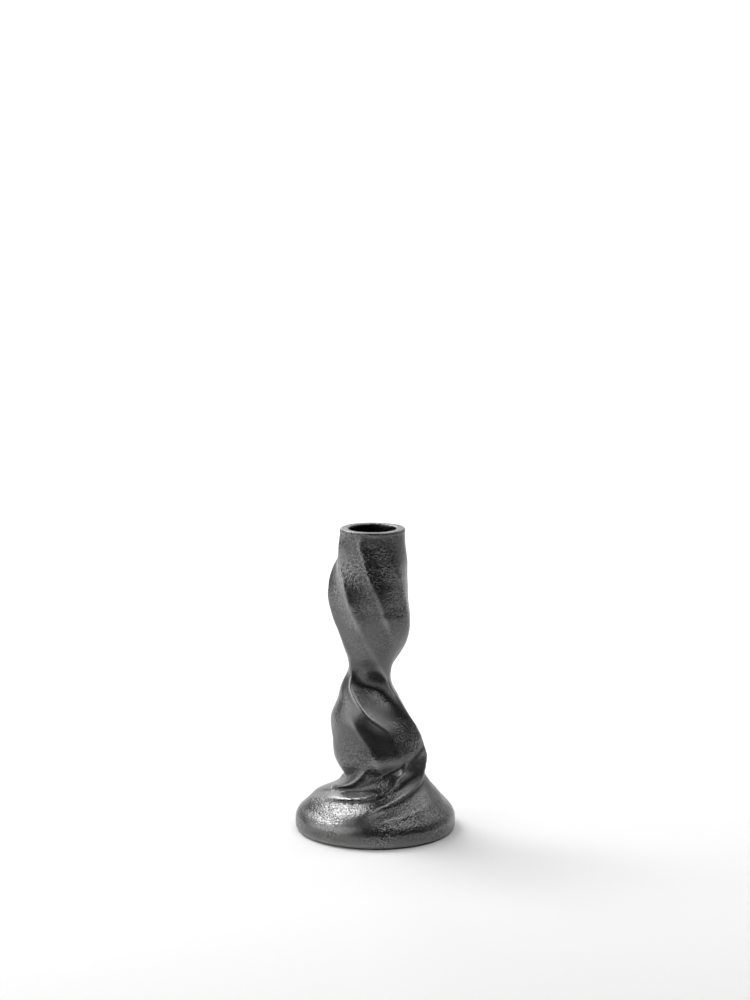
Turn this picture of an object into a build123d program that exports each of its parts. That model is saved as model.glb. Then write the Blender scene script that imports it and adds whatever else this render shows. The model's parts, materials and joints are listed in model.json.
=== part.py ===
"""Candle holder cast in one piece: a twisted, fluted column that rises from a folded foot, on felt pads.

Millimetres, +Z up, the front of the holder towards -Y. The origin is on the table, under the foot's middle.
"""

import os
from math import cos, radians, sin, tan
from typing import NamedTuple

from build123d import *

# Felt pads: how far each stands out of the casting, and its pocket's fit
PAD_DIAMETER = 9.0
PAD_THICKNESS = 2.0
PAD_PROUD = 0.4
PAD_CLEARANCE = 0.15
PAD_ANGLES = {"felt_pad_front": -90.0, "felt_pad_right": 30.0, "felt_pad_left": 150.0}

# Foot: a round band, and the recess under it that leaves a ring to stand on
BASE_RADIUS = 40.0
BAND_HEIGHT = 5.1
BAND_LOWER_ROUND = 0.8
FOOT_RING_WIDTH = 13.0
RECESS_DEPTH = 5.0
RECESS_DRAFT = 8.0

# Height over all, and the heights on the way up, each measured from the level before it
HEIGHT = 152.0
FOLD_RISE = 16.5
HIP_RISE = 22.0
WAIST_RISE = 36.0
BULGE_RISE = 38.0

# How far the crests reach from the middle of the column at each level
FOLD_REACH = 23.4
FOOT_REACH = 16.4
HIP_REACH = 23.6
WAIST_REACH = 11.6
BULGE_REACH = 20.6
RIM_REACH = 16.4

# How far the column sways to one side, and how far the shortest fold stays behind the others
COLUMN_SWAY = 3.2
FOLD_DROP = 6.0

# Socket for a dinner candle, upright in the leaning head
CANDLE_DIAMETER = 22.0
CANDLE_CLEARANCE = 0.6
SOCKET_DEPTH = 25.0
SOCKET_MOUTH_CHAMFER = 0.5
SOCKET_MOUTH_ANGLE = 90.0
HEAD_LEAN = -1.4

UNDERSIDE_Z = PAD_PROUD
BAND_Z = UNDERSIDE_Z + BAND_HEIGHT
FOOT_Z = BAND_Z + FOLD_RISE
HIP_Z = FOOT_Z + HIP_RISE
WAIST_Z = HIP_Z + WAIST_RISE
BULGE_Z = WAIST_Z + BULGE_RISE
LEVEL_HEIGHTS = [UNDERSIDE_Z, BAND_Z, FOOT_Z, HIP_Z, WAIST_Z, BULGE_Z, HEIGHT]

# The same levels as numbers. A row below is (level, value), so 3.5 is half way from the hip to the waist
UNDERSIDE, BAND, FOOT, HIP, WAIST, BULGE, RIM = range(len(LEVEL_HEIGHTS))
FOLD_TOP = 3.11  # where the folds end, inside the hip
COLUMN_SECTION_COUNT = 45
FOOT_SECTION_COUNT = 61

SOCKET_RADIUS = CANDLE_DIAMETER / 2 + CANDLE_CLEARANCE
MOUTH_RADIUS = SOCKET_RADIUS + SOCKET_MOUTH_CHAMFER
PAD_CIRCLE_RADIUS = BASE_RADIUS - FOOT_RING_WIDTH / 2
POCKET_RADIUS = PAD_DIAMETER / 2 + PAD_CLEARANCE
POCKET_DEPTH = PAD_THICKNESS - PAD_PROUD


class Crest(NamedTuple):
    """One crest of a fluted form and the flute that follows it, each value a number or rows by level."""

    lead: object  # degrees round from the first crest
    flute: object = 1.0  # share of the common hollow that the flute after the crest takes
    fade: object = 0.0  # 0 is a sharp crest, 1 a smooth one, and more than 1 a dip
    drop: object = 0.0  # millimetres that the crest stays short of the common reach


class Form(NamedTuple):
    """A fluted form: how its crests turn, reach out, lean and hollow between them, by level."""

    crests: list
    turn: list  # degrees of the first crest from the front, towards the right
    reach: list  # millimetres from the form's middle
    lean: list  # millimetres that the middle stands to the right
    hollow: list  # 0 is a round flute, 1 a flat one, and more than 1 a hollow one
    skew: list  # how far the hollow sits towards the crest before it


def between(low, high, share):
    """Value that lies the given share of the way from low to high."""
    return low + (high - low) * share


def height_at(level):
    """Height of a level, with the heights between two levels in proportion."""
    below = min(int(level), RIM - 1)
    return between(LEVEL_HEIGHTS[below], LEVEL_HEIGHTS[below + 1], level - below)


def eased(rows, level):
    """Value at a level, on a smooth curve through rows of (level, value) that never overshoots them."""
    if not isinstance(rows, list):
        return rows
    rows = sorted(rows)
    if level <= rows[0][0]:
        return rows[0][1]
    slopes = [0.0]
    for before, here, after in zip(rows, rows[1:], rows[2:]):
        rise = (here[1] - before[1]) / (here[0] - before[0])
        fall = (after[1] - here[1]) / (after[0] - here[0])
        slopes.append(2 * rise * fall / (rise + fall) if rise * fall > 0 else 0.0)
    slopes.append(0.0)
    for (low, start), (high, end), start_slope, end_slope in zip(rows, rows[1:], slopes, slopes[1:]):
        if level <= high:
            span = high - low
            t = (level - low) / span
            from_start = (1 + 2 * t) * start + t * span * start_slope
            from_end = (3 - 2 * t) * end - (1 - t) * span * end_slope
            return (1 - t) ** 2 * from_start + t**2 * from_end
    return rows[-1][1]


def section(form, level):
    """Outline of a fluted form at a level: one curve from each crest to the next."""
    turn = eased(form.turn, level)
    azimuths = [radians(turn + eased(crest.lead, level)) for crest in form.crests]
    reaches = [eased(form.reach, level) - eased(crest.drop, level) for crest in form.crests]
    middle = Vector(eased(form.lean, level), 0)
    tips = [middle + Vector(sin(a), -cos(a)) * reach for a, reach in zip(azimuths, reaches)]
    sideways = [Vector(cos(a), sin(a)) * reach for a, reach in zip(azimuths, reaches)]
    hollow = eased(form.hollow, level)
    skew = eased(form.skew, level)

    handles = []
    for k, crest in enumerate(form.crests):
        after = (k + 1) % len(tips)
        gap = (azimuths[after] - azimuths[k]) % radians(360)
        arm = 4 / 3 * tan(gap / 4)
        third = (tips[after] - tips[k]) / 3
        depth = hollow * eased(crest.flute, level)
        round_start = tips[k] + sideways[k] * arm
        round_end = tips[after] - sideways[after] * arm
        start = round_start + (tips[k] + third - round_start) * depth * (1 + skew)
        end = round_end + (tips[after] - third - round_end) * depth * (1 - skew)
        handles.append((start, end))

    ridge = []
    for k, crest in enumerate(form.crests):
        arrive, leave = handles[k - 1][1], handles[k][0]
        share = (tips[k] - arrive).length / ((tips[k] - arrive).length + (leave - tips[k]).length)
        ridge.append(between(tips[k], between(arrive, leave, share), eased(crest.fade, level)))

    with BuildSketch(Plane.XY.offset(height_at(level))) as outline:
        with BuildLine():
            for k, (start, end) in enumerate(handles):
                Bezier(ridge[k], start, end, ridge[(k + 1) % len(ridge)])
        make_face()
    return outline.sketch


def levels(first, last, count):
    """Evenly spaced levels from first to last."""
    return [between(first, last, i / (count - 1)) for i in range(count)]


# Column: its crests wind to the right going down, and the last is the sharp spine below the waist
column_form = Form(
    crests=[
        Crest(lead=0.0, fade=[(4.79, 0.0), (4.47, 0.35), (4.22, 0.25), (4.0, 0.0), (2.82, 0.3)]),
        Crest(
            lead=[(6, 57), (5.7, 56), (5.26, 48), (4.8, 46)],
            fade=[(6, 0.9), (5.76, 0.2), (4.79, 0.0), (4.55, 0.6), (4.39, 0.9), (3.44, 0.5)],
        ),
        Crest(
            lead=[(6, 100), (5.62, 98), (5.05, 93)],
            flute=[(5.6, 0.25), (5.2, 0.4), (4.84, 0.4), (4.4, 0.7), (4.0, 1.0)],
            fade=[(5.7, 0.6), (5.35, 0.0)],
        ),
        Crest(
            lead=[(6, 150), (4.8, 145), (3.86, 130), (2.8, 145)],
            flute=[(4.84, 0.25), (4.4, 0.7), (4.0, 0.8), (3.72, 0.4), (3.33, 0.2)],
        ),
        Crest(
            lead=[(6, 203), (4.8, 200), (3.86, 170), (2.8, 200)],
            flute=[(5.05, 1.0), (4.26, 0.8), (3.89, 0.1), (2.2, 0.2)],
        ),
        Crest(
            lead=[(6, 262), (4.8, 260), (3.86, 222), (3.6, 244), (3.4, 255), (3.1, 261), (2.8, 262)],
            flute=[(4.0, 0.9), (3.72, 0.8), (3.5, 0.8), (3.3, 1.4), (3.12, 1.7), (2.6, 1.4)],
            fade=[(4.0, 0.6), (3.55, 0.5), (3.33, 0.2), (3.2, 0.0)],
        ),
        Crest(
            lead=[(6, 305), (4.53, 306), (4.26, 297), (4.05, 271), (3.89, 257), (3.72, 267), (3.5, 283),
                  (3.22, 300)],
            flute=[(5.05, 1.0), (4.53, 1.4), (4.26, 1.2), (4.05, 1.0), (3.78, 1.5), (3.44, 1.3), (3.16, 1.5),
                   (2.6, 1.4)],
            fade=[(3.64, 0.0), (3.47, 0.2), (3.28, 0.6), (3.08, 0.94), (2.7, 0.97)],
        ),
    ],
    turn=[(6, -78), (5.82, -80), (5.65, -70), (5.26, -42), (4.97, -30), (4.74, -25), (4.5, -17), (4.26, 4),
          (4.08, 26), (3.89, 55), (3.69, 63), (3.33, 80), (2.82, 93), (1.9, 98)],
    reach=[
        (RIM, RIM_REACH),
        (BULGE, BULGE_REACH),
        (4.74, between(WAIST_REACH, BULGE_REACH, 0.92)),
        (4.42, between(WAIST_REACH, BULGE_REACH, 0.57)),
        (WAIST, WAIST_REACH),
        (3.72, between(WAIST_REACH, HIP_REACH, 0.27)),
        (3.25, between(WAIST_REACH, HIP_REACH, 0.84)),
        (2.8, HIP_REACH),
        (FOOT, FOOT_REACH),
    ],
    lean=[
        (RIM, HEAD_LEAN),
        (5.65, -0.59 * COLUMN_SWAY),
        (5.26, -COLUMN_SWAY),
        (BULGE, -COLUMN_SWAY),
        (4.76, -0.59 * COLUMN_SWAY),
        (4.5, -0.22 * COLUMN_SWAY),
        (4.26, -0.38 * COLUMN_SWAY),
        (WAIST, -0.85 * COLUMN_SWAY),
        (3.83, -1.15 * COLUMN_SWAY),
        (3.6, -0.81 * COLUMN_SWAY),
        (3.4, -0.63 * COLUMN_SWAY),
        (3.22, -0.06 * COLUMN_SWAY),
        (3.03, 0.5 * COLUMN_SWAY),
        (2.73, 0.75 * COLUMN_SWAY),
        (2.2, 0.81 * COLUMN_SWAY),
    ],
    hollow=[(6, 0.3), (5.9, 0.65), (5.65, 1.0), (5.26, 1.25), (4.92, 1.2), (4.68, 0.9), (4.47, 0.5),
            (4.26, 0.6), (4.05, 1.0), (3.72, 1.1), (3.33, 1.0), (3.05, 0.8), (2.73, 0.8), (2.2, 0.6)],
    skew=[(4.5, 0.1), (4.15, 0.5), (3.75, -0.3), (3.4, 0.1), (FOOT, 0.15)],
)

# Foot: folds that wind back to the left going down and run out into the dome
fold_form = Form(
    crests=[
        Crest(
            lead=-100.0,
            fade=[(2.0, 0.0), (1.7, 0.9)],
            drop=[(2.36, 0.0), (2.14, 0.17 * FOLD_DROP), (FOOT, 0.5 * FOLD_DROP), (1.82, 0.33 * FOLD_DROP),
                  (1.64, 0.0)],
        ),
        Crest(
            lead=[(2.36, -48), (2.18, -43), (2.05, -38), (1.97, -43), (1.9, -54), (1.8, -58)],
            fade=[(1.95, 0.0), (1.8, 0.9)],
            drop=[(2.82, 0.7 * FOLD_DROP), (2.59, 0.4 * FOLD_DROP), (2.41, 0.0)],
        ),
        Crest(lead=0.0, fade=[(1.52, 0.0), (1.33, 0.9)]),
        Crest(
            lead=[(1.94, 55), (1.79, 56), (1.67, 48), (1.55, 33), (1.43, 18), (1.3, 10)],
            flute=0.15,
            fade=[(1.94, 0.95), (1.67, 0.1), (1.55, 0.0), (1.33, 0.9)],
        ),
        Crest(lead=[(1.94, 105), (1.36, 88)], flute=0.25, fade=[(2.5, 0.3), (2.2, 0.97)]),
        Crest(lead=[(1.94, 155), (1.36, 142)], flute=0.4, fade=[(2.4, 0.3), (2.1, 0.97)]),
        Crest(
            lead=207.0,
            flute=0.8,
            fade=[(2.18, 0.0), (1.82, 0.9)],
            drop=[(2.36, FOLD_DROP), (2.14, 0.77 * FOLD_DROP), (1.94, 0.37 * FOLD_DROP), (1.7, 0.0)],
        ),
    ],
    turn=[(FOLD_TOP, 98), (2.82, 90), (2.55, 78), (2.36, 69), (2.18, 55), (2.05, 34), (1.88, 14), (1.73, -1),
          (1.52, -13), (1.15, -22)],
    reach=[
        (FOLD_TOP, between(FOLD_REACH, 0.0, 0.4)),
        (HIP, between(FOLD_REACH, 0.0, 0.17)),
        (2.86, between(FOLD_REACH, 0.0, 0.06)),
        (2.68, FOLD_REACH),
        (2.36, FOLD_REACH),
        (2.14, between(FOLD_REACH, BASE_RADIUS, 0.09)),
        (FOOT, between(FOLD_REACH, BASE_RADIUS, 0.22)),
        (1.82, between(FOLD_REACH, BASE_RADIUS, 0.42)),
        (1.64, between(FOLD_REACH, BASE_RADIUS, 0.62)),
        (1.45, between(FOLD_REACH, BASE_RADIUS, 0.79)),
        (1.27, between(FOLD_REACH, BASE_RADIUS, 0.92)),
        (1.1, between(FOLD_REACH, BASE_RADIUS, 0.985)),
        (BAND, BASE_RADIUS),
        (BAND_LOWER_ROUND / BAND_HEIGHT, BASE_RADIUS),
        (UNDERSIDE, BASE_RADIUS - BAND_LOWER_ROUND),
    ],
    lean=[(2.27, 0.94 * COLUMN_SWAY), (2.09, 0.69 * COLUMN_SWAY), (1.88, 0.31 * COLUMN_SWAY), (1.52, 0.0)],
    hollow=[(2.82, 1.3), (2.45, 1.3), (2.18, 1.1), (2.0, 0.9), (1.76, 0.7), (1.52, 0.5), (1.39, 0.38),
            (1.27, 0.15), (1.1, 0.03)],
    skew=[(FOLD_TOP, 0.3), (2.18, 0.5), (1.76, 0.6)],
)

with BuildPart() as column:
    loft([section(column_form, level) for level in levels(FOOT, RIM, COLUMN_SECTION_COUNT)])

with BuildPart() as folds:
    loft([section(fold_form, level) for level in levels(UNDERSIDE, FOLD_TOP, FOOT_SECTION_COUNT)])

# The casting: foot and column run together, with the underside and the socket cut after
with BuildPart() as cast_body:
    add(folds.part)
    add(column.part)
    with BuildSketch(Plane.XY.offset(UNDERSIDE_Z)):
        Circle(BASE_RADIUS - FOOT_RING_WIDTH)
    extrude(amount=RECESS_DEPTH, taper=RECESS_DRAFT, mode=Mode.SUBTRACT)
    with BuildSketch(Plane.XY.offset(UNDERSIDE_Z)):
        for angle in PAD_ANGLES.values():
            with PolarLocations(PAD_CIRCLE_RADIUS, 1, start_angle=angle):
                Circle(POCKET_RADIUS)
    extrude(amount=POCKET_DEPTH, mode=Mode.SUBTRACT)
    with Locations((HEAD_LEAN, 0, HEIGHT)):
        CounterSinkHole(SOCKET_RADIUS, MOUTH_RADIUS, SOCKET_DEPTH, SOCKET_MOUTH_ANGLE)

os.makedirs("parts", exist_ok=True)
cast_body.part.label = "cast_body"
export_step(cast_body.part, "parts/cast_body.step")

# Felt pads: glued into their pockets, and what the holder stands on
for pad_name, angle in PAD_ANGLES.items():
    with BuildPart() as felt_pad:
        with BuildSketch():
            with PolarLocations(PAD_CIRCLE_RADIUS, 1, start_angle=angle):
                Circle(PAD_DIAMETER / 2)
        extrude(amount=PAD_THICKNESS)
    felt_pad.part.label = pad_name
    export_step(felt_pad.part, f"parts/{pad_name}.step")
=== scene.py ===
"""Looks of a spiral candle holder: a blackened aluminium casting that stands on three felt pads.

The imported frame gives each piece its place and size. Lengths are in metres, and the fields whose names
end in _mm are in millimetres.
"""

import json
import logging
import math
from collections.abc import Sequence
from dataclasses import dataclass, field
from enum import Enum

import bmesh
import bpy
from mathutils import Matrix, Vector, noise


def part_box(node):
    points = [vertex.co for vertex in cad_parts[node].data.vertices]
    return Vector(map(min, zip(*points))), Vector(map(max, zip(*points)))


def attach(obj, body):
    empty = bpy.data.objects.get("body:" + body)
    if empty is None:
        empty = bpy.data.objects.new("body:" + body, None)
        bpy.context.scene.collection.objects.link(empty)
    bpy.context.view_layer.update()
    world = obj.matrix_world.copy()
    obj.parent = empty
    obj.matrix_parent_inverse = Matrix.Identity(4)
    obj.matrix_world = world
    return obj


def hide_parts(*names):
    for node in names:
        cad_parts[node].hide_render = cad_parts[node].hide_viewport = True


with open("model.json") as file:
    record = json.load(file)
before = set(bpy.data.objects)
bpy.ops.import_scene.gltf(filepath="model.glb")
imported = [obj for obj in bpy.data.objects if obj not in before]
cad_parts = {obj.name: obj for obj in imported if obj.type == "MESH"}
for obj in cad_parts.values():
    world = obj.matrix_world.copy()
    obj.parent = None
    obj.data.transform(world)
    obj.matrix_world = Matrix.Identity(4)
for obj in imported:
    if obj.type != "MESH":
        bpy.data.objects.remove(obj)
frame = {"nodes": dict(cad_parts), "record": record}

LOG = logging.getLogger("candle_holder")
MM = 0.001
# A Mix node's sockets for colours, by number because the sockets for other values have the same names
MIX_SHARE, MIX_FIRST, MIX_SECOND = 0, 6, 7
MIX_RESULT = 2


class Slot(Enum):
    """Material slots of the record."""

    CASTING = "cast_aluminium"
    FELT = "felt"


class PadPlace(Enum):
    """The three pads under the foot, by the names of their nodes."""

    FRONT = "felt_pad_front"
    RIGHT = "felt_pad_right"
    LEFT = "felt_pad_left"


class Mark(Enum):
    """What the casting's points know about the shape around them."""

    CREST = "crest"
    HOLLOW = "hollow"
    RIM = "rim"
    SOCKET = "socket"


def linear(colour: str) -> tuple[float, float, float, float]:
    """Turn an sRGB hex colour into linear light.

    Args:
        colour: Six hex digits after a hash sign.

    Returns:
        Red, green, blue and an alpha of 1.
    """
    shares = [int(colour[at:at + 2], 16) / 255 for at in (1, 3, 5)]
    red, green, blue = [s / 12.92 if s <= 0.04045 else ((s + 0.055) / 1.055) ** 2.4 for s in shares]
    return red, green, blue, 1.0


def per_metre(size_mm: float) -> float:
    """Give the texture scale that makes a pattern's cells this many millimetres wide."""
    return 1.0 / (size_mm * MM)


def add_node(tree: bpy.types.NodeTree, kind: str, inputs: dict | None = None, **settings) -> bpy.types.Node:
    """Add one node with its settings, values and links.

    Args:
        tree: Node tree that takes the node.
        kind: Node type without its ShaderNode prefix.
        inputs: Input names or numbers, each with a value or with the output that feeds it.
        settings: Properties of the node.

    Returns:
        The new node.
    """
    node = tree.nodes.new("ShaderNode" + kind)
    for name, value in settings.items():
        setattr(node, name, value)
    for name, value in (inputs or {}).items():
        if isinstance(value, bpy.types.NodeSocket):
            tree.links.new(value, node.inputs[name])
        else:
            node.inputs[name].default_value = value
    return node


def new_material(name: str) -> tuple[bpy.types.Material, bpy.types.Node]:
    """Make a material with a Principled shader.

    Args:
        name: Name of the material, for what it really is.

    Returns:
        The material and its shader.
    """
    material = bpy.data.materials.new(name)
    material.use_nodes = True
    return material, material.node_tree.nodes["Principled BSDF"]


def new_piece(name: str, shape: bmesh.types.BMesh, material: bpy.types.Material) -> bpy.types.Object:
    """Turn a finished bmesh into a smooth shaded object at the origin.

    Args:
        name: Name of the piece.
        shape: The mesh, in place. It is freed.
        material: The finish that it wears.

    Returns:
        The new object.
    """
    mesh = bpy.data.meshes.new(name)
    shape.to_mesh(mesh)
    shape.free()
    mesh.shade_smooth()
    mesh.materials.append(material)
    piece = bpy.data.objects.new(name, mesh)
    bpy.context.scene.collection.objects.link(piece)
    return piece


@dataclass(frozen=True)
class BlackenedAluminium:
    """Sand-cast aluminium, blackened and rubbed with wax.

    It gives the eye a dark satin grey. The grain of the sand sparkles at the edge of each highlight, and
    the grain tops carry painted glints. Crests are rubbed smoother, and their lighter colour is partly
    wear and partly a painted highlight. Hollows are darker, partly patina and partly painted shade, and
    the candle socket is darkened with painted shade. The skin is raw at the head and on the foot, and
    smoother in between.
    """

    name: str = "blackened cast aluminium"
    skin: str = "#606060"
    # Lighter crests: partly rubbed wear, partly a painted highlight along each crest
    rubbed_and_highlit: str = "#8e8e8c"
    # Darker hollows: partly patina, partly painted shade
    blackened_and_shaded: str = "#484848"
    faced: str = "#727270"
    # Painted shade inside the candle socket
    socket_shade: str = "#323232"
    # The real sand is about 0.3 mm, and the grain is drawn more than twice as coarse so that it shows
    grain_mm: float = 0.8
    grain_depth_mm: float = 0.31
    lump_mm: float = 2.4
    lump_depth_mm: float = 0.22
    sand_detail: float = 0.5
    sand_warp: float = 0.5
    # The middle part of the grain's pattern, and how much darker and lighter the colour is at its ends: pits
    # darker, partly patina and partly painted shade, and tops lighter, partly wear and partly painted glints
    grain_span: tuple[float, float] = (0.32, 0.68)
    grain_tone_and_glint: tuple[float, float] = (0.56, 1.5)
    # Patches make the share of raw skin uneven, by the sway up or down
    patch_mm: float = 20.0
    patch_detail: float = 2.0
    patch_span: tuple[float, float] = (0.36, 0.64)
    patch_sway: float = 0.45
    smooth_from_mm: float = 68.0
    smooth_to_mm: float = 94.0
    blend_mm: float = 36.0
    foot_share: float = 0.7
    smooth_raw: tuple[float, float] = (0.12, 0.8)
    crest_rubbing: float = 0.5
    least_relief: float = 0.12
    # Raw skin is the glossier one, because each of its grains is a small mirror
    roughness: tuple[float, float] = (0.36, 0.27)

    def material(self) -> bpy.types.Material:
        """Build the node material and return it."""
        material, shader = new_material(self.name)
        tree = material.node_tree
        place = add_node(tree, "TexCoord").outputs["Object"]
        rough = self.rough_share(tree, place)
        lumps, grains = [
            add_node(tree, "TexNoise", {
                "Vector": place, "Scale": per_metre(size), "Detail": self.sand_detail,
                "Distortion": self.sand_warp}).outputs["Fac"]
            for size in (self.lump_mm, self.grain_mm)]
        smoothest, rawest = self.roughness
        polish = add_node(tree, "MapRange", {"Value": rough, "To Min": smoothest, "To Max": rawest})
        relief = self.relief(tree, rough, ((lumps, self.lump_depth_mm), (grains, self.grain_depth_mm)))
        tree.links.new(self.colour(tree, rough, grains), shader.inputs["Base Color"])
        tree.links.new(polish.outputs[0], shader.inputs["Roughness"])
        tree.links.new(relief, shader.inputs["Normal"])
        shader.inputs["Metallic"].default_value = 1.0
        return material

    def rough_share(self, tree: bpy.types.NodeTree, place: bpy.types.NodeSocket) -> bpy.types.NodeSocket:
        """Work out how grainy the skin is, from 0 for rubbed smooth to 1 for raw.

        Args:
            tree: Node tree of the material.
            place: Object coordinates.

        Returns:
            The share, as an output.
        """
        patch = add_node(tree, "TexNoise", {
            "Vector": place, "Scale": per_metre(self.patch_mm), "Detail": self.patch_detail})
        patch_low, patch_high = self.patch_span
        patchy = add_node(tree, "MapRange", {
            "Value": patch.outputs["Fac"], "From Min": patch_low, "From Max": patch_high,
            "To Min": -self.patch_sway, "To Max": self.patch_sway})
        height = add_node(tree, "SeparateXYZ", {0: place}).outputs["Z"]
        above = add_node(tree, "MapRange", {
            "Value": height, "From Min": self.smooth_to_mm * MM,
            "From Max": (self.smooth_to_mm + self.blend_mm) * MM})
        below = add_node(tree, "MapRange", {
            "Value": height, "From Min": self.smooth_from_mm * MM,
            "From Max": (self.smooth_from_mm - self.blend_mm) * MM, "To Max": self.foot_share})
        ends = add_node(tree, "Math", {0: above.outputs[0], 1: below.outputs[0]}, operation="MAXIMUM")
        smooth, raw = self.smooth_raw
        plain = add_node(tree, "MapRange", {"Value": ends.outputs[0], "To Min": smooth, "To Max": raw})
        share = add_node(tree, "Math", {0: plain.outputs[0], 1: patchy.outputs[0]}, operation="ADD")
        crest = add_node(tree, "Attribute", attribute_name=Mark.CREST.value).outputs["Fac"]
        rubbed_and_highlit = add_node(
            tree, "Math", {0: crest, 1: -self.crest_rubbing, 2: share.outputs[0]}, operation="MULTIPLY_ADD")
        return add_node(tree, "Clamp", {"Value": rubbed_and_highlit.outputs[0]}).outputs[0]

    def colour(
        self, tree: bpy.types.NodeTree, rough: bpy.types.NodeSocket, grains: bpy.types.NodeSocket
    ) -> bpy.types.NodeSocket:
        """Colour the skin by the marks of its points: wear and a painted highlight on crests, patina and
        painted shade in hollows, the faced rim, and painted shade in the socket. Where the skin is raw,
        darken the grain's pits and put painted glints on its tops.

        Args:
            tree: Node tree of the material.
            rough: Share of raw skin.
            grains: Heights of the sand's grains.

        Returns:
            The colour, as an output.
        """
        tone = linear(self.skin)
        # Crest marks get wear and a painted highlight, hollows patina and painted shade, the rim its faced
        # metal, the socket painted shade
        for mark, marked in (
            (Mark.CREST, self.rubbed_and_highlit), (Mark.HOLLOW, self.blackened_and_shaded),
            (Mark.RIM, self.faced), (Mark.SOCKET, self.socket_shade),
        ):
            share = add_node(tree, "Attribute", attribute_name=mark.value).outputs["Fac"]
            tone = add_node(
                tree, "Mix", {MIX_SHARE: share, MIX_FIRST: tone, MIX_SECOND: linear(marked)},
                data_type="RGBA").outputs[MIX_RESULT]
        # Grain pits darker, partly patina and painted shade, and grain tops lighter, partly wear and painted
        # glints
        low, high = self.grain_span
        pits, tops = self.grain_tone_and_glint
        grain_tone_and_glint = add_node(tree, "MapRange", {
            "Value": grains, "From Min": low, "From Max": high, "To Min": pits, "To Max": tops})
        return add_node(
            tree, "Mix", {MIX_SHARE: rough, MIX_FIRST: tone, MIX_SECOND: grain_tone_and_glint.outputs[0]},
            data_type="RGBA", blend_type="MULTIPLY").outputs[MIX_RESULT]

    def relief(
        self, tree: bpy.types.NodeTree, rough: bpy.types.NodeSocket,
        patterns: tuple[tuple[bpy.types.NodeSocket, float], ...]
    ) -> bpy.types.NodeSocket:
        """Raise the grain of the sand mould.

        Args:
            tree: Node tree of the material.
            rough: Share of raw skin.
            patterns: Heights, each with its depth in millimetres.

        Returns:
            The bumped normal, as an output.
        """
        strength = add_node(tree, "MapRange", {"Value": rough, "To Min": self.least_relief}).outputs[0]
        normal = None
        for height, depth in patterns:
            bump = add_node(tree, "Bump", {"Height": height, "Strength": strength, "Distance": depth * MM})
            if normal:
                tree.links.new(normal, bump.inputs["Normal"])
            normal = bump.outputs["Normal"]
        return normal


@dataclass(frozen=True)
class WoolFelt:
    """Pressed wool felt, dyed dark grey.

    It gives the eye a matt, slightly mottled face with a soft edge of loose fibres.
    """

    name: str = "pressed wool felt"
    dark: str = "#1f1f20"
    light: str = "#3b3a39"
    fibre_mm: float = 0.25
    fibre_height_mm: float = 0.12
    fibre_detail: float = 3.0
    fibre_warp: float = 1.5
    roughness: float = 0.95
    sheen: float = 0.4

    def material(self) -> bpy.types.Material:
        """Build the node material and return it."""
        material, shader = new_material(self.name)
        tree = material.node_tree
        place = add_node(tree, "TexCoord").outputs["Object"]
        fibre = add_node(tree, "TexNoise", {
            "Vector": place, "Scale": per_metre(self.fibre_mm), "Detail": self.fibre_detail,
            "Distortion": self.fibre_warp}).outputs["Fac"]
        colour = add_node(
            tree, "Mix", {MIX_SHARE: fibre, MIX_FIRST: linear(self.dark), MIX_SECOND: linear(self.light)},
            data_type="RGBA")
        bump = add_node(tree, "Bump", {"Height": fibre, "Distance": self.fibre_height_mm * MM})
        tree.links.new(colour.outputs[MIX_RESULT], shader.inputs["Base Color"])
        tree.links.new(bump.outputs["Normal"], shader.inputs["Normal"])
        shader.inputs["Roughness"].default_value = self.roughness
        shader.inputs["Sheen Weight"].default_value = self.sheen
        return material


@dataclass(frozen=True)
class MattPaper:
    """White background paper, matt, with nothing on it to see."""

    name: str = "matt white paper"
    white: str = "#dedede"
    roughness: float = 0.9
    shine: float = 0.1

    def material(self) -> bpy.types.Material:
        """Build the plain material of the floor and return it."""
        material, shader = new_material(self.name)
        shader.inputs["Base Color"].default_value = linear(self.white)
        shader.inputs["Roughness"].default_value = self.roughness
        shader.inputs["Specular IOR Level"].default_value = self.shine
        return material


@dataclass(frozen=True)
class Blemish:
    """A small fault in the casting's front: a pit, or a knock if it is raised."""

    x_mm: float
    z_mm: float
    radius_mm: float
    rise_mm: float

    def press(self, shape: bmesh.types.BMesh) -> None:
        """Press the fault into the front of a shape.

        Args:
            shape: Shape to change.
        """
        for vert in shape.verts:
            away = math.hypot(vert.co.x / MM - self.x_mm, vert.co.z / MM - self.z_mm) / self.radius_mm
            if away < 1 and vert.normal.y < 0:
                vert.co += vert.normal * self.rise_mm * MM * (1 - away**2)


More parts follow.
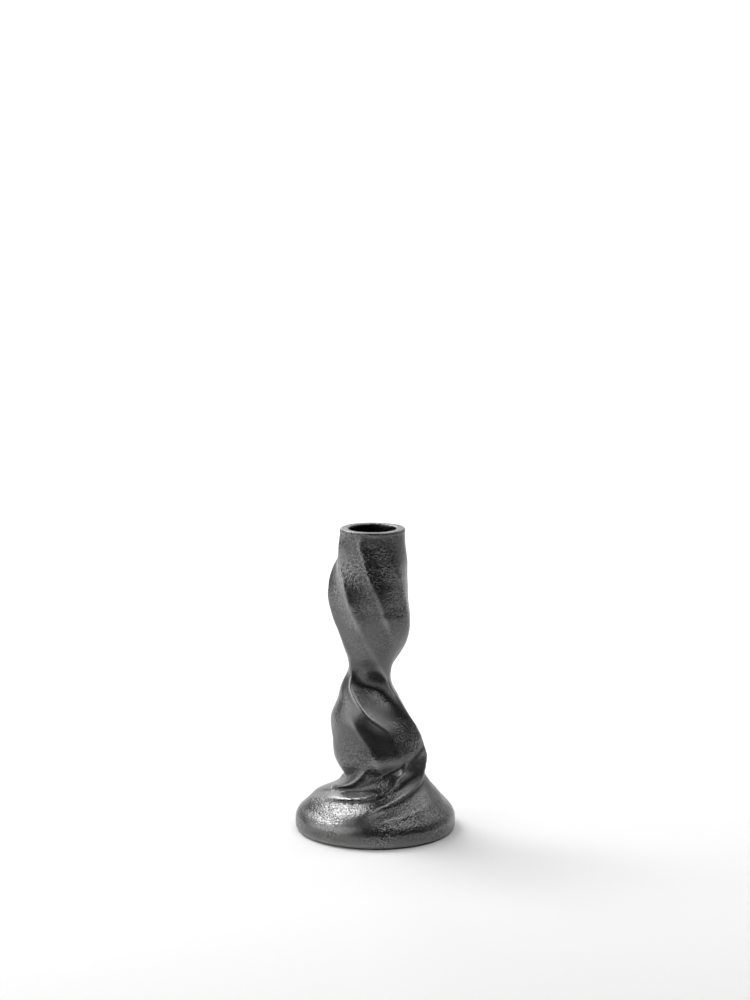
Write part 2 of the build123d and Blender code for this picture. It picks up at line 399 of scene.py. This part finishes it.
@dataclass
class Casting:
    """The one casting: foot, folds, twisted column and rim.

    The frame's mesh is exact but faceted, so a copy of it is meshed evenly, eased as the edges of a
    casting are, given the slight unevenness of a sand mould, and thinned out where it is plain.
    """

    node: str = "cast_body"
    weld_mm: float = 0.001
    voxel_mm: float = 0.55
    triangles: int = 188000
    # The skin is eased more than the faced rim and the bored socket with the wall next to it
    ease_share: float = 0.5
    ease_passes: int = 8
    rim_passes: int = 2
    rim_mm: float = 1.5
    wall_mm: float = 1.2
    wave_mm: float = 5.0
    wave_depth_mm: float = 0.04
    # A crest stands out of the shape eased this often, by more than the given share of crest_mm
    spread_passes: int = 80
    crest_mm: float = 0.55
    crest_from: float = 0.35
    edge_mm: float = 0.35
    level_from: float = 0.9
    blemishes: tuple[Blemish, ...] = (
        Blemish(x_mm=11.0, z_mm=110.6, radius_mm=1.0, rise_mm=-0.4),
        Blemish(x_mm=7.1, z_mm=96.0, radius_mm=0.9, rise_mm=-0.35),
        Blemish(x_mm=-15.9, z_mm=2.6, radius_mm=1.1, rise_mm=0.2),
    )
    finish: BlackenedAluminium = field(default_factory=BlackenedAluminium)

    def build(self) -> bpy.types.Object:
        """Build the casting, dress it and seat it on the frame.

        Returns:
            The casting's object.
        """
        shape = self.even_shape()
        self.ease(shape, shape.verts, self.rim_passes)
        self.ease(shape, self.cast_skin(shape), self.ease_passes)
        self.roughen(shape)
        self.mark(shape)
        self.mark_machined(shape)
        casting = new_piece("casting", shape, self.finish.material())
        thinner = casting.modifiers.new("thinner mesh", "DECIMATE")
        squares = len(casting.data.polygons)
        thinner.ratio = self.triangles / (2 * squares)
        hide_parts(self.node)
        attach(casting, "root")
        return casting

    def even_shape(self) -> bmesh.types.BMesh:
        """Mesh a copy of the frame's solid in even squares.

        Returns:
            The evenly meshed shape.
        """
        exact = bmesh.new()
        exact.from_mesh(frame["nodes"][self.node].data)
        bmesh.ops.remove_doubles(exact, verts=exact.verts, dist=self.weld_mm * MM)
        mesh = bpy.data.meshes.new("casting pattern")
        exact.to_mesh(mesh)
        exact.free()
        pattern = bpy.data.objects.new("casting_pattern", mesh)
        bpy.context.scene.collection.objects.link(pattern)
        remesh = pattern.modifiers.new("even mesh", "REMESH")
        remesh.mode = "VOXEL"
        remesh.voxel_size = self.voxel_mm * MM
        shape = bmesh.new()
        shape.from_object(pattern, bpy.context.evaluated_depsgraph_get())
        bpy.data.objects.remove(pattern)
        return shape

    def ease(self, shape: bmesh.types.BMesh, verts: Sequence[bmesh.types.BMVert], passes: int) -> None:
        """Soften the edges at some of the points.

        Args:
            shape: Shape to change.
            verts: The points that move.
            passes: How many times each point moves towards the middle of its neighbours.
        """
        for _ in range(passes):
            bmesh.ops.smooth_vert(
                shape, verts=verts, factor=self.ease_share, use_axis_x=True, use_axis_y=True, use_axis_z=True)

    def cast_skin(self, shape: bmesh.types.BMesh) -> list[bmesh.types.BMVert]:
        """Find the points of the raw casting, off the faced rim and the bored socket.

        Args:
            shape: The evenly meshed shape.

        Returns:
            The points whose edges are soft.
        """
        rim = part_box(self.node)[1].z - self.rim_mm * MM
        axis, radius, depth = self.socket()
        reach = radius + self.wall_mm * MM
        return [vert for vert in shape.verts
                if vert.co.z < rim - depth or (vert.co.z < rim and (vert.co.xy - axis).length > reach)]

    def socket(self) -> tuple[Vector, float, float]:
        """Give the candle socket's axis in plan, its radius and its depth, from the record's mount."""
        mount = next(mount for mount in frame["record"]["mounts"] if mount["name"] == "candle_socket")
        return Vector(mount["pos_m"]).xy, mount["dims"]["r_mm"] * MM, mount["dims"]["length_mm"] * MM

    def roughen(self, shape: bmesh.types.BMesh) -> None:
        """Give the skin the low waves and the small faults that a sand mould leaves.

        Args:
            shape: Shape to change.
        """
        shape.normal_update()
        for vert in shape.verts:
            wave = noise.noise(vert.co / (self.wave_mm * MM))
            vert.co += vert.normal * wave * self.wave_depth_mm * MM
        for blemish in self.blemishes:
            blemish.press(shape)

    def mark(self, shape: bmesh.types.BMesh) -> None:
        """Write on each point how far it stands out of, or lies in, what is around it.

        Args:
            shape: Shape that gets the attributes of crests and hollows.
        """
        eased = shape.copy()
        self.ease(eased, eased.verts, self.spread_passes)
        shape.normal_update()
        shape.verts.ensure_lookup_table()
        eased.verts.ensure_lookup_table()
        crest = shape.verts.layers.float.new(Mark.CREST.value)
        hollow = shape.verts.layers.float.new(Mark.HOLLOW.value)
        for vert in shape.verts:
            stands = (vert.co - eased.verts[vert.index].co).dot(vert.normal) / (self.crest_mm * MM)
            # The crest mark carries wear and a painted highlight, the hollow mark patina and painted shade
            vert[crest] = min(max(stands - self.crest_from, 0.0), 1.0)
            vert[hollow] = min(max(-stands, 0.0), 1.0)
        eased.free()

    def mark_machined(self, shape: bmesh.types.BMesh) -> None:
        """Write on each point whether it is on the faced rim or in the socket, which gets painted shade. The
        rim's edges get neither wear nor a painted highlight.

        Args:
            shape: Shape with the attribute of crests. It gets those of the rim and the socket.
        """
        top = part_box(self.node)[1].z
        axis, radius, depth = self.socket()
        rim = shape.verts.layers.float.new(Mark.RIM.value)
        socket = shape.verts.layers.float.new(Mark.SOCKET.value)
        crest = shape.verts.layers.float[Mark.CREST.value]
        for vert in shape.verts:
            inside = (vert.co.xy - axis).length < radius + self.edge_mm * MM
            down = top - vert.co.z
            vert[rim] = float(down < self.edge_mm * MM and vert.normal.z > self.level_from)
            vert[socket] = float(inside and self.edge_mm * MM < down < depth + self.rim_mm * MM)
            # No wear and no painted highlight on the rim's edges
            if down < self.rim_mm * MM:
                vert[crest] = 0.0


@dataclass
class FeltPads:
    """The three felt pads that carry the holder, each in its pocket under the foot ring."""

    segments: int = 48
    edge_mm: float = 0.3
    edge_segments: int = 3
    edge_degrees: float = 60.0
    inset_mm: float = 1.0
    fuzz_mm: float = 0.06
    fill: float = 1.0
    finish: WoolFelt = field(default_factory=WoolFelt)

    def build(self) -> list[bpy.types.Object]:
        """Build the three pads.

        Returns:
            Their objects.
        """
        material = self.finish.material()
        return [self.pad(place, material) for place in PadPlace]

    def pad(self, place: PadPlace, material: bpy.types.Material) -> bpy.types.Object:
        """Build one pad where its node is.

        Args:
            place: Which pad.
            material: The felt.

        Returns:
            The pad's object.
        """
        low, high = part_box(place.value)
        centre = (low + high) / 2
        shape = bmesh.new()
        bmesh.ops.create_circle(
            shape, cap_ends=True, segments=self.segments, radius=(high.x - low.x) / 2 - self.fuzz_mm * MM)
        top = bmesh.ops.extrude_face_region(shape, geom=shape.faces[:])["geom"]
        raised = [part for part in top if isinstance(part, bmesh.types.BMVert)]
        bmesh.ops.translate(shape, vec=(0, 0, high.z - low.z), verts=raised)
        bmesh.ops.recalc_face_normals(shape, faces=shape.faces)
        sharp = math.radians(self.edge_degrees)
        edges = [edge for edge in shape.edges if edge.calc_face_angle() > sharp]
        bmesh.ops.bevel(
            shape, geom=edges, offset=self.edge_mm * MM, affect="EDGES", segments=self.edge_segments,
            profile=0.5, material=-1)
        ends = [face for face in shape.faces if len(face.verts) == self.segments]
        bmesh.ops.inset_region(shape, faces=ends, thickness=self.inset_mm * MM)
        bmesh.ops.translate(shape, vec=(centre.x, centre.y, low.z), verts=shape.verts)
        piece = new_piece(place.value.replace("felt_pad", "pad"), shape, material)
        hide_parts(place.value)
        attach(piece, "root")
        return piece


@dataclass(frozen=True)
class Softbox:
    """A soft rectangular light that faces the middle of the holder, or what its aim says.

    Its turn is in degrees from the camera's side to the right, and its rise in degrees from the floor.
    """

    name: str
    turn: float
    rise: float
    width: float
    height: float
    radiance: float
    distance: float = 1.4
    aim: tuple[float, float, float] = (0.0, 0.0, 0.07)

    def build(self) -> None:
        """Hang the light. Its power follows from how bright its face is."""
        turn = math.radians(self.turn)
        rise = math.radians(self.rise)
        away = Vector((math.cos(rise) * math.sin(turn), -math.cos(rise) * math.cos(turn), math.sin(rise)))
        light = bpy.data.lights.new(self.name, "AREA")
        light.shape = "RECTANGLE"
        light.size = self.width
        light.size_y = self.height
        light.energy = self.radiance * math.pi * self.width * self.height
        lamp = bpy.data.objects.new(self.name, light)
        lamp.location = Vector(self.aim) + away * self.distance
        lamp.rotation_euler = away.to_track_quat("Z", "Y").to_euler()
        bpy.context.scene.collection.objects.link(lamp)


@dataclass
class Studio:
    """A pale sweep of paper, soft lights and the camera of the photograph, which looks down a few degrees."""

    width: float = 12.0
    front: float = -3.0
    back: float = 3.5
    wall: float = 4.0
    sweep: float = 1.5
    sweep_segments: int = 24
    room: str = "#161616"
    camera_distance: float = 1.2
    camera_down: float = 9.6
    camera_aim: tuple[float, float, float] = (-0.00013, 0.0, 0.1658)
    lens_mm: float = 88.2
    paper: MattPaper = field(default_factory=MattPaper)
    lights: tuple[Softbox, ...] = (
        Softbox("key_softbox", turn=-130.0, rise=50.0, width=0.65, height=0.65, radiance=10.5),
        Softbox("edge_softbox", turn=-162.0, rise=32.0, width=0.5, height=0.5, radiance=3.5),
        Softbox("left_softbox", turn=-76.0, rise=28.0, width=1.9, height=1.2, radiance=2.1),
        Softbox("fill_softbox", turn=50.0, rise=62.0, width=0.9, height=0.9, radiance=2.4),
        Softbox("right_softbox", turn=112.0, rise=34.0, width=0.9, height=0.9, radiance=1.2),
        Softbox(
            "backdrop_softbox", turn=0.0, rise=42.0, width=4.0, height=1.4, radiance=6.0,
            distance=2.4, aim=(0.0, 3.0, 0.5)),
    )

    def build(self) -> None:
        """Build the floor, the lights, the dim room around them and the camera."""
        self.build_floor()
        for light in self.lights:
            light.build()
        world = bpy.data.worlds.new("studio room")
        world.use_nodes = True
        world.node_tree.nodes["Background"].inputs["Color"].default_value = linear(self.room)
        bpy.context.scene.world = world
        bpy.context.scene.view_settings.view_transform = "Standard"
        self.build_camera()

    def build_floor(self) -> None:
        """Roll out the paper, which turns up behind the holder in one sweep."""
        shape = bmesh.new()
        corners = [(self.front, 0.0), (self.back, 0.0), (self.back, self.wall)]
        line = [shape.verts.new((-self.width / 2, depth, height)) for depth, height in corners]
        edges = [shape.edges.new(pair) for pair in zip(line, line[1:])]
        sheet = bmesh.ops.extrude_edge_only(shape, edges=edges)["geom"]
        moved = [part for part in sheet if isinstance(part, bmesh.types.BMVert)]
        bmesh.ops.translate(shape, vec=(self.width, 0, 0), verts=moved)
        fold = [edge for edge in shape.edges if len(edge.link_faces) == 2]
        bmesh.ops.bevel(
            shape, geom=fold, offset=self.sweep, affect="EDGES", segments=self.sweep_segments,
            profile=0.5, material=-1)
        bmesh.ops.recalc_face_normals(shape, faces=shape.faces)
        new_piece("paper_sweep", shape, self.paper.material())

    def build_camera(self) -> None:
        """Place the camera on the photograph's line of sight."""
        camera = bpy.data.objects.new("camera", bpy.data.cameras.new("camera"))
        down = math.radians(self.camera_down)
        camera.location = Vector(self.camera_aim) + self.camera_distance * Vector(
            (0.0, -math.cos(down), math.sin(down)))
        camera.rotation_euler = (math.pi / 2 - down, 0.0, 0.0)
        camera.data.lens = self.lens_mm
        bpy.context.scene.collection.objects.link(camera)
        bpy.context.scene.camera = camera


def report_piece(piece: bpy.types.Object) -> None:
    """Log a piece with the number of its faces."""
    LOG.info("%s: %d faces", piece.name, len(piece.data.polygons))


def main() -> None:
    """Build the holder and its studio, and log the number of faces of each of the holder's pieces."""
    logging.basicConfig(level=logging.INFO, format="%(message)s")
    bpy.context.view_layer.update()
    Studio().build()
    report_piece(Casting().build())
    for pad in FeltPads().build():
        report_piece(pad)


if __name__ == "__main__":
    main()
